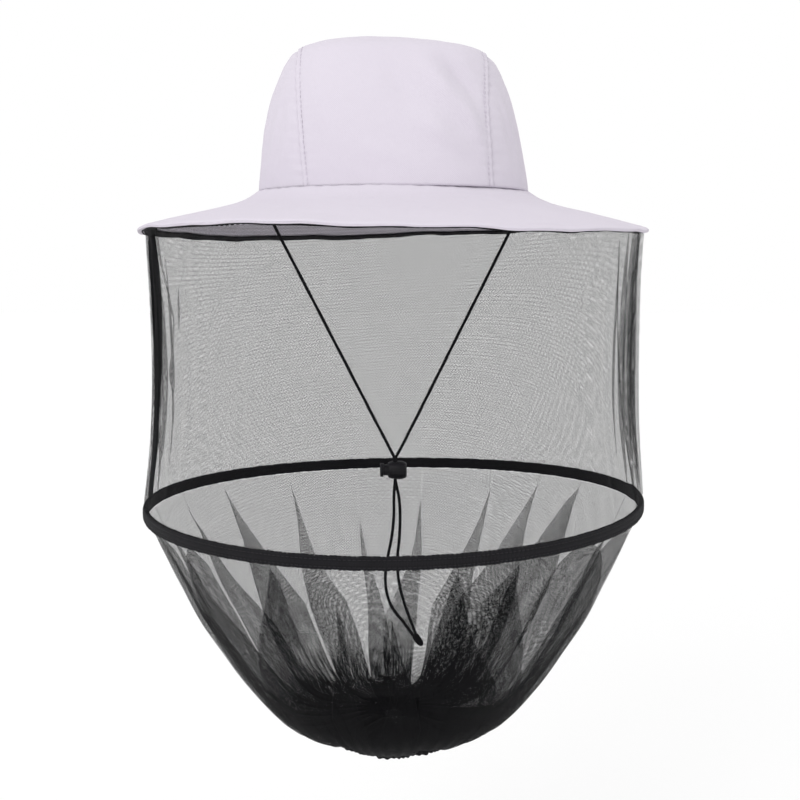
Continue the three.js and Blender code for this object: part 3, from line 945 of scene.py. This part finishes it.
# creases: (angle at its top, angle at its foot, share down at its start, at its end, depth, width)
CREASES = [
    (-156, -147, 0.0, 0.3, -2.4, 1.7), (158, 176, 0.02, 0.9, 2.2, 2.0), (-162, -174, 0.1, 0.8, -1.8, 2.2),
    (-37, -35, 0.0, 1.0, -1.1, 3.2), (-31, -20, 0.05, 0.95, -2.2, 1.9), (24, 30, 0.0, 0.6, -1.2, 2.6),
    (-150, -146, 0.3, 1.0, 0.9, 3.0), (140, 136, 0.0, 0.8, -0.8, 3.5), (-8, -5, 0.0, 1.0, 1.8, 2.0),
]
SEAM_COLUMNS = (-5, -4, -2, -1, 0, 1, 2, 4, 5)


def hang(points, share):
    """The hoop hangs a little askew, and both nets follow it."""
    x = points[..., 0] / HOOP
    points[..., 2] += share * (2.4 * x + 3 * x * x)
    return points


def side_ripples(angle, centre, half, size, pitch):
    """Upright folds round one side of the net, with centre, half and pitch in degrees."""
    off = np.degrees((angle - math.radians(centre) + math.pi) % TURN - math.pi)
    return size * bell(off, half) * np.sin(off * TURN / pitch)


def crease(angle, down, start, end, high, low, size, width):
    """One crease's depth over the net's whole grid."""
    path = np.radians(start + (end - start) * np.clip((down - high) / (low - high), 0, 1) ** 1.2)
    off = ((angle - path + math.pi) % TURN - math.pi) * 167
    return size * bell(off, width) * soft((down - high) / 0.1 + 1) * soft((low - down) / 0.2 + 1)


veil_angle = np.linspace(-math.pi, math.pi, VEIL_COLUMNS + 1)[None]
veil_share = np.linspace(0, 1, VEIL_ROWS)[:, None]
veil_z = NET_TOP + (NET_FOOT - NET_TOP) * veil_share


def upper_net_points():
    """The net from brim to hoop, with side folds, creases and gathered edges."""
    swell = np.sin(math.pi * veil_share)
    radius = net_radius(veil_z) + np.zeros_like(veil_angle)
    radius += side_ripples(veil_angle + 0.05 * veil_share, 180, 19, 3.6, 6.6) * (0.45 + 0.55 * swell)
    radius += side_ripples(veil_angle - 0.04 * veil_share, 1, 14, 4.2, 5.2) * (0.4 + 0.6 * swell)
    for values in CREASES:
        radius += crease(veil_angle, veil_share, *values)
    edges = fade(veil_share * NET_DROP, 11) * 0.7 + fade((1 - veil_share) * NET_DROP, 13) * 0.9
    radius += edges * np.sin(61 * veil_angle + 2.5 * np.sin(7 * veil_angle)) * 0.75
    radius += 0.9 * np.sin(5 * veil_angle + 3 * veil_share) * swell * 0.8
    points = polar(radius, veil_angle, veil_z)
    points[..., 2] += sway(points[..., 0], points[..., 1], 168.8) * (1 - veil_share)
    return hang(points, veil_share)


def seam_down_net(veil):
    """The tape over the net's one upright seam."""
    line = np.stack([veil[:, k % VEIL_COLUMNS] for k in SEAM_COLUMNS], 1)
    grid = line + facing(line, away=(0, 0, -120)) * 0.5
    flat = flat_grid(veil_z, (np.array(SEAM_COLUMNS) * 0.88)[None])
    return stand_in(slab("side_seam", grid, flat, black_tape, 0.9), "black_tape", "veil_side_seam")


veil = upper_net_points()
veil_flat = flat_grid((veil_angle + math.pi) * 168.5, veil_z)
upper_net = stand_in(sheet_of("upper_net", veil, veil_flat, net_thread, True), "net", "veil_upper_mesh")
side_seam = seam_down_net(veil)

# -------- hoop
HOOP_TOP, CASING = -216.0, 8.0
HOOP_COLUMNS = 1536
HOOP_FACE = 175.6
# the tape's section: (radius, distance below the hoop's top)
HOOP_UPPER = [
    (172.5, 0.15), (173.2, -0.1), (174.2, -0.12), (175.1, 0.1), (175.55, 0.6), (175.75, 1.2), (175.6, 1.8),
    (175.5, 2.5), (175.75, 3.2),
]
HOOP_LOWER = [(r, CASING - down) for r, down in HOOP_UPPER[::-1]]
HOOP_INSIDE = [(172.25, 7.2), (172.2, 5.6), (172.15, 4.0), (172.2, 2.4), (172.25, 0.8)]
HOOP_SECTION = [*HOOP_UPPER, (176.0, 4.0), *HOOP_LOWER, *HOOP_INSIDE]


def hoop_tape():
    """The hoop's folded tape, with toothed edges and a lap where its ends meet."""
    angle = np.arange(HOOP_COLUMNS) * TURN / HOOP_COLUMNS
    tooth = np.array([-0.15, 0.5, 0.55, -0.1])[np.arange(HOOP_COLUMNS) % 4]
    twist = 0.12 * np.sin(angle * 131) + 0.1 * np.sin(angle * 53 + 1)
    from_lap = ((angle - math.pi / 36 + math.pi) % TURN - math.pi) * 175
    lap = soft((9 - np.abs(from_lap)) / 2.5)
    rows = []
    for r, down in HOOP_SECTION:
        at_edge = max(0.0, abs(down - CASING / 2) - 3.2) / 0.9
        outside = r > HOOP
        radius = r + (1 if outside else -1) * 0.12 * tooth * at_edge + lap * (0.45 if outside else -0.1)
        ragged = tooth * 0.62 * at_edge + lap * 0.35 * min(1, at_edge)
        height = HOOP_TOP - down + twist + np.sign(CASING / 2 - down) * ragged
        rows.append(polar(radius, angle, height))
    tape = ring("hoop_tape", hang(np.stack(rows), 1.0), black_tape)
    return place(tape, "hoop", "black_tape", "hoop_casing")


casing = hoop_tape()
outward = polar(1.0, ring_angle, 0.0)
for name, down in (("upper", 1.75), ("lower", 6.25)):
    row = hang(polar(HOOP_FACE, ring_angle, HOOP_TOP - down), 1.0)
    sewn = stitches(f"hoop_stitches_{name}", row, outward, 2.9, 0.72, 0.5, black_thread, 0.08)
    place(sewn, "hoop", "black_tape")

# -------- skirt
SKIRT_TOP = -224.6
SKIRT_ROWS = 100
# pleats: (angle, height where it starts, width of its fold, lean, how slowly it opens)
PLEATS = [
    (8, -250, 14, -1, 1.5), (31, -229, 58, 1, 0.9), (46, -230, 52, 1, 1.4), (61, -236, 32, 1, 1.7),
    (82, -246, 26, 1, 1.8), (101, -262, 18, -1, 1.5), (121, -232, 32, -1, 1.8), (143, -229, 44, -1, 1.4),
    (160, -240, 36, -1, 1.2), (178, -236, 36, -1, 1.0), (194, -225, 38, -1, 0.7), (208, -222, 70, -1, 0.45),
    (224, -223, 56, -1, 0.55), (245, -225, 52, -1, 1.2), (258, -250, 18, -1, 1.6), (270, -258, 24, 1, 1.4),
    (283, -226, 52, 1, 1.3), (296, -234, 54, 1, 1.2), (311, -222, 108, 1, 0.5), (327, -222, 84, 1, 0.4),
    (349, -256, 12, 1, 1.5),
]
AHEAD, CORNER, BACK = 36, 8, 22  # points along a pleat's outer run, round each fold and back under it
ROSETTE = 19.0  # how deep the gathers push in over the elastic, for each layer of a fold
skirt_line = respaced(
    smooth_line([
        (173.6, SKIRT_TOP), (163.5, -246), (152.5, -268), (140.5, -293), (126, -316), (109, -342), (88, -367),
        (63, -383), (46, -387.4), (41.5, -389),
    ], 0.5),
    SKIRT_ROWS,
)


def pleats_at(radius, z):
    """Each pleat at one level: its fold's start and end, and how far out its three runs lie."""
    bulge = ROSETTE * float(soft((80 - radius) / 18) * soft((radius - 41.5) / 7))
    folds = []
    for k, (angle, start, width, lean, opening) in enumerate(PLEATS):
        below = max(start - z, 0.0)
        wide = width * min(1.0, below / 92) ** opening * min(1.0, radius / 108) ** 0.8
        deep = 1.9 * float(soft(below / 16)) * min(1.0, 0.4 + radius / 160) + bulge
        stray = 3.2 * math.sin(z / 27 + 2.1 * k) * float(soft(below / 70)) * min(1.0, radius / 110)
        middle = math.radians(angle) * radius + lean * 0.3 * wide + stray
        before, after = (0.0, -2 * deep) if lean > 0 else (-2 * deep, 0.0)
        folds.append((middle - wide / 2, middle + wide / 2, before, -deep, after))
    return folds


def pleat_level(radius, z):
    """The cloth's path round one level and back under each pleat, as angles and distances out."""
    folds = pleats_at(radius, z)
    around, out = [], []
    last = folds[-1]
    low, level = last[0] - TURN * radius, last[4]
    for near, far, before, mid, after in folds:
        t = np.linspace(0, 1, AHEAD, endpoint=False)
        puff = 2.4 * np.sin(math.pi * t) ** 2 * min(1.0, radius / 120) * float(soft((-226 - z) / 40))
        around.append(low + (far - low) * t)
        out.append(level + (before - level) * soft(t) + puff)
        for edge, a, b, way in ((far, before, mid, 1), (near, mid, after, -1)):
            t = (np.arange(CORNER) + 0.5) / CORNER * math.pi
            around.append(edge + way * abs(b - a) / 2 * np.sin(t))
            out.append((a + b) / 2 + (a - b) / 2 * np.cos(t))
            if way > 0:
                t = np.linspace(0, 1, BACK)
                around.append(far + (near - far) * t)
                out.append(np.full(BACK, mid) - 0.5 * np.sin(math.pi * t))
        low, level = near, after
    around, out = np.concatenate(around), np.concatenate(out)
    around, out = np.append(around, around[0] + TURN * radius), np.append(out, out[0])
    return around / radius, out


def skirt():
    """The pleated net from the hoop down to the neck, where fine gathers shirr it."""
    across, height = skirt_line[:, :1], skirt_line[:, 1:]
    levels = [pleat_level(radius, z) for radius, z in skirt_line]
    angle = np.array([level[0] for level in levels])
    out = np.array([level[1] for level in levels])
    shirr = soft((-356 - height) / 26)
    out += 1.1 * shirr * np.sin(angle * 58 + 2 * np.sin(7 * angle))
    z = height - 0.25 * out * soft((across - 60) / 60)
    z -= 0.3 * np.minimum(out + 3, 0) * soft((80 - across) / 18)
    points = polar(across - 1.2 + out, angle, z)
    along_middle = distances(points[int(SKIRT_ROWS * 0.42)])
    hang(points, np.clip((NECK - height) / (NECK - SKIRT_TOP), 0, 1))
    points[:, -1] = points[:, 0]
    flat = flat_grid(along_middle[None], distances(skirt_line)[:, None])
    made = sheet_of("skirt_net", points, flat, shirred_thread, True)
    return place(made, "hoop", "net", "skirt_mesh")


skirt_net = skirt()

# -------- neck hem
NECK_COLUMNS = 900
# the hem's section: (radius, distance below the neck's top)
NECK_SECTION = [
    (36.5, 0.6), (37.6, -0.1), (39.0, -0.3), (40.6, -0.1), (41.5, 0.7), (41.8, 2.0), (41.7, 3.6), (41.8, 5.2),
    (41.4, 6.4), (40.4, 7.1), (39.0, 7.3), (37.5, 7.1), (36.5, 6.3), (36.3, 4.6), (36.35, 2.6),
]


def gathered_hem():
    """The ruffled tape hem over the neck elastic, a little lumpy underneath."""
    angle = np.arange(NECK_COLUMNS) * TURN / NECK_COLUMNS
    ruffle = 0.75 * np.sin(62 * angle + 2.2 * np.sin(9 * angle)) + 0.35 * np.sin(37 * angle)
    lump = 0.9 * np.sin(7 * angle + 0.6) + 0.6 * np.sin(17 * angle)
    rows = []
    for r, down in NECK_SECTION:
        radius = r + ruffle * (0.9 if r > 39 else 0.5)
        rows.append(polar(radius, angle, NECK - down - lump * (down / 7) ** 2 * 0.6 - 0.12 * ruffle))
    return place(ring("gathered_hem", np.stack(rows), black_tape), "neck", "black_tape", "neck_hem")


hem = gathered_hem()

for piece in (upper_net, side_seam):
    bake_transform(piece)
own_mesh(skirt_net)

# -------- lock spring
SPRING_WIRE = 0.5
SPRING_TURNS = 4.5
SPRING_POINTS = 300


def lock_spring():
    """The coil in the cord lock, which shortens as the button is pressed."""
    low, high = (np.array(corner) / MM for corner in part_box("cord_lock_spring"))
    middle, half = (high + low) / 2, (high - low) / 2
    inset = SPRING_WIRE / 2 + 0.05
    turn = np.linspace(0, SPRING_TURNS * TURN, SPRING_POINTS)
    line = np.stack([
        np.linspace(low[0] + inset, high[0] - inset, SPRING_POINTS),
        middle[1] + (half[1] - inset) * np.cos(turn),
        middle[2] + (half[1] - inset) * np.sin(turn),
    ], 1)
    spring = tube("coil_spring", line, SPRING_WIRE / 2, spring_steel, 10)
    place(spring, "cord_lock", "spring_steel", "cord_lock_spring")
    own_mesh(spring)


lock_spring()

# -------- CAD pieces that stay
for node, material, slot in (
    ("hoop_band", spring_steel, "spring_steel"), ("hoop_ferrule", spring_steel, "spring_steel"),
    ("neck_elastic", elastic, "elastic"), ("cord_lock_barrel", lock_plastic, "lock_plastic"),
    ("cord_lock_plunger", lock_plastic, "lock_plastic"),
):
    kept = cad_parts[node]
    kept.data.materials.clear()
    kept.data.materials.append(material)

# -------- studio
FLOOR_LEVEL, FLOOR_HALF = -0.62, 12  # in metres


def studio_floor():
    """A pale floor that glows a little, to fade into the white world."""
    mesh = bpy.data.meshes.new("floor")
    corners = [(x * FLOOR_HALF, y * FLOOR_HALF, FLOOR_LEVEL) for x, y in ((-1, -1), (1, -1), (1, 1), (-1, 1))]
    mesh.from_pydata(corners, [], [[0, 1, 2, 3]])
    floor = bpy.data.objects.new("floor", mesh)
    scene.collection.objects.link(floor)
    paint = Paint("floor_paint")
    grey, white = (0.32, 0.32, 0.32, 1), (1, 1, 1, 1)
    mesh.materials.append(paint.finish(grey, 0.95, Emission_Color=white, Emission_Strength=0.635))


def lamp(name, spot, aim, power, size):
    """A square lamp of that size, in metres, that points at a spot."""
    light = bpy.data.lights.new(name, "AREA")
    light.energy = power
    light.size = size
    made = bpy.data.objects.new(name, light)
    made.location = spot
    made.rotation_euler = (Vector(aim) - Vector(spot)).to_track_quat("-Z", "Y").to_euler()
    scene.collection.objects.link(made)


world = bpy.data.worlds.new("studio")
world.use_nodes = True
backdrop = world.node_tree.nodes["Background"].inputs
backdrop["Color"].default_value = (1, 1, 1, 1)
backdrop["Strength"].default_value = 1.0
scene.world = world
studio_floor()
lamp("key", (-1.3, -2.3, 1.6), (0, 0, 0), 31, 1.2)
lamp("fill", (2.4, -1.8, 0.4), (0, 0, -0.1), 2.5, 2.0)
scene.view_settings.view_transform = "Standard"
scene.cycles.transparent_max_bounces = 40
